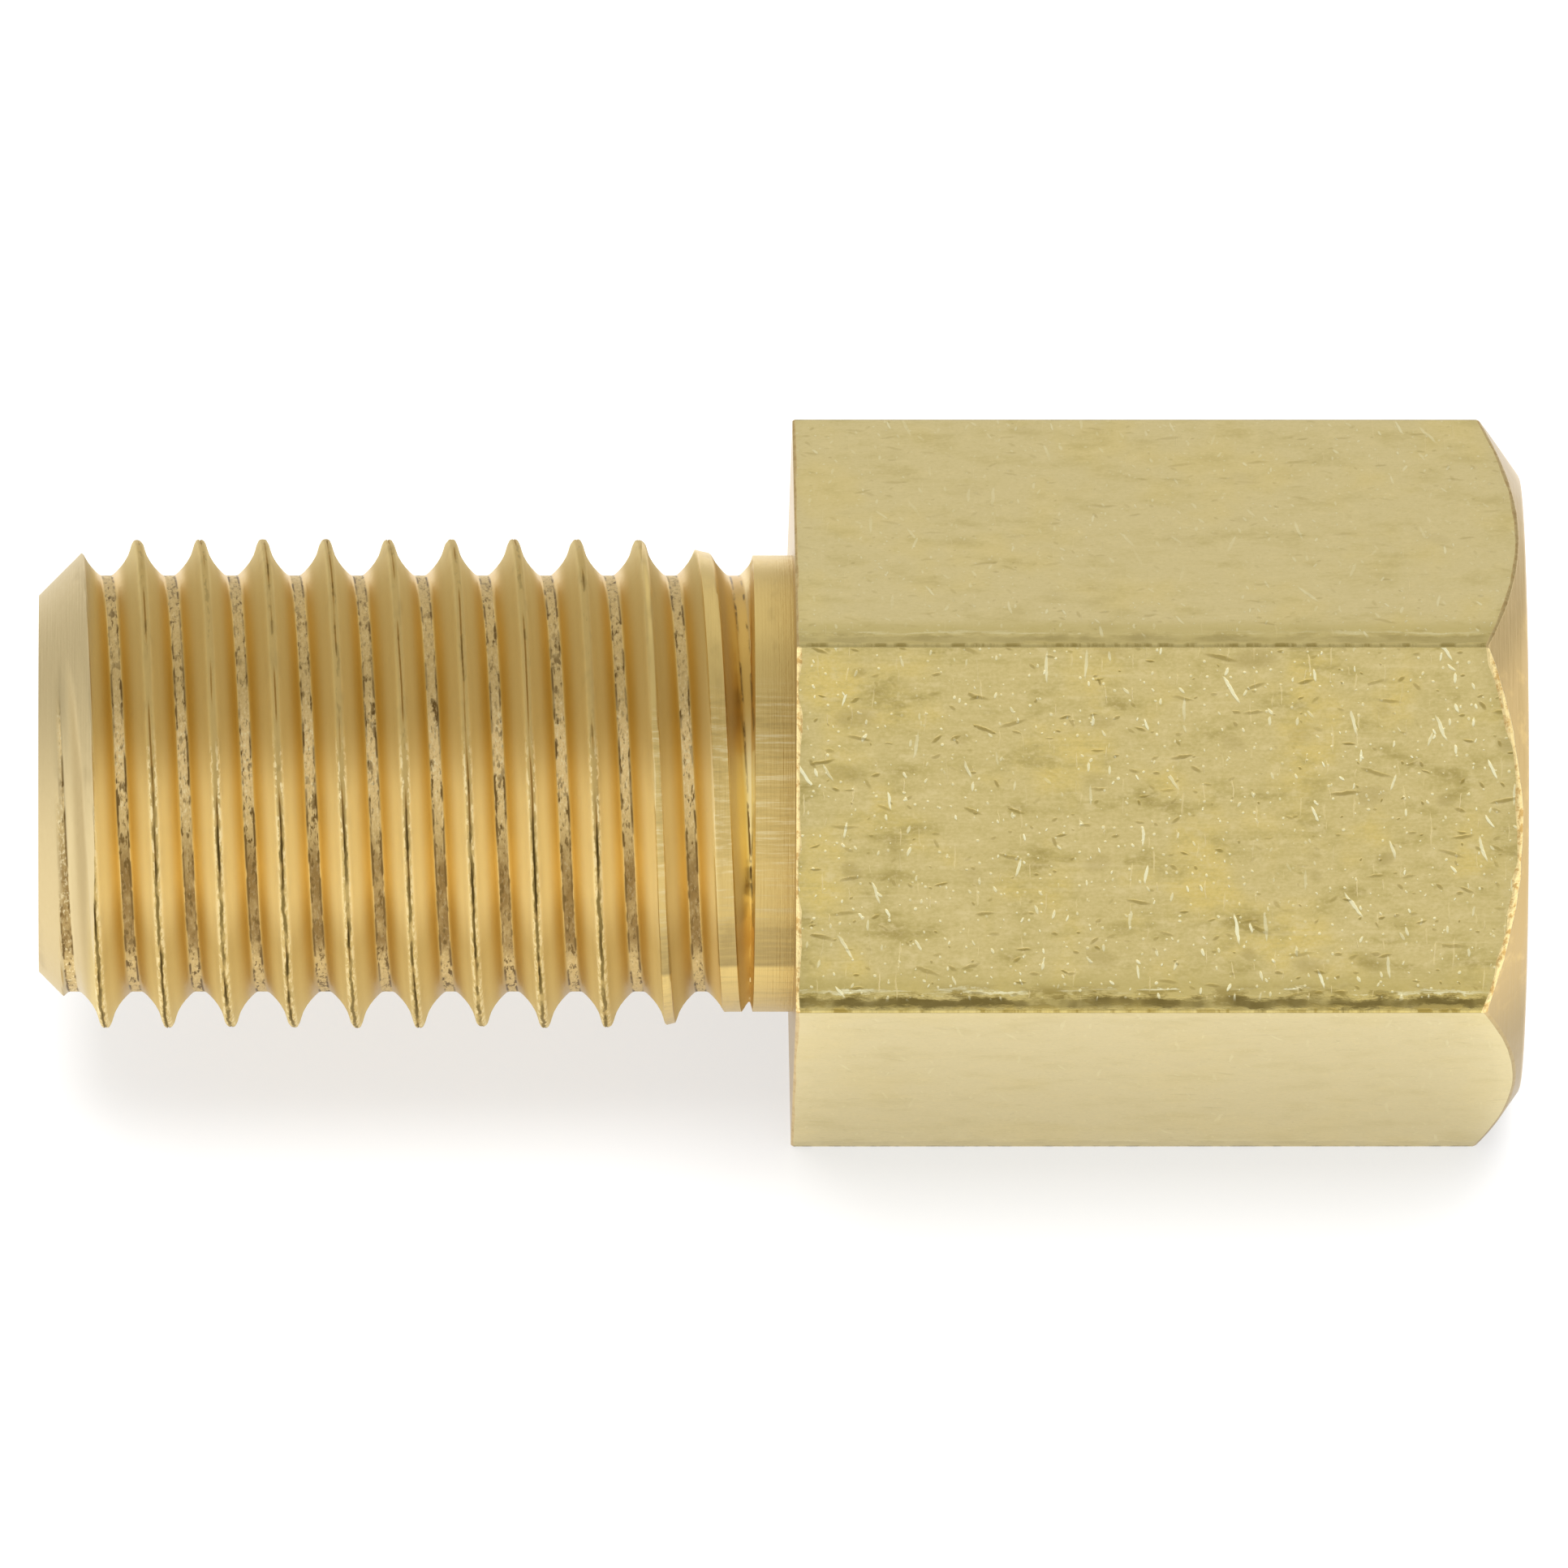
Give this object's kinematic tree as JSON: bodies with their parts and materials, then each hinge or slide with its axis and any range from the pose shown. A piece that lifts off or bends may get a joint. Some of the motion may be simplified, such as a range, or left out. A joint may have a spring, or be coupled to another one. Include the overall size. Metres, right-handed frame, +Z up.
{
  "type": "brake line adapter",
  "caption": "Brass hydraulic line adapter: a hexagon with a female inverted-flare port on one end and a male metric thread on the other.",
  "frame": {"origin": "on the thread axis, midway along the overall length", "axes": "+X along the thread axis from the male tip towards the port; +Z up, square to the upper flat of the hexagon; the part lies on its lower flat"},
  "size_m": [0.0295, 0.0146, 0.0128],
  "materials": {
    "brass": "drawn and turned brass, lightly tarnished"
  },
  "bodies": {
    "root": {"adapter_body": "brass"}
  },
  "joints": []
}
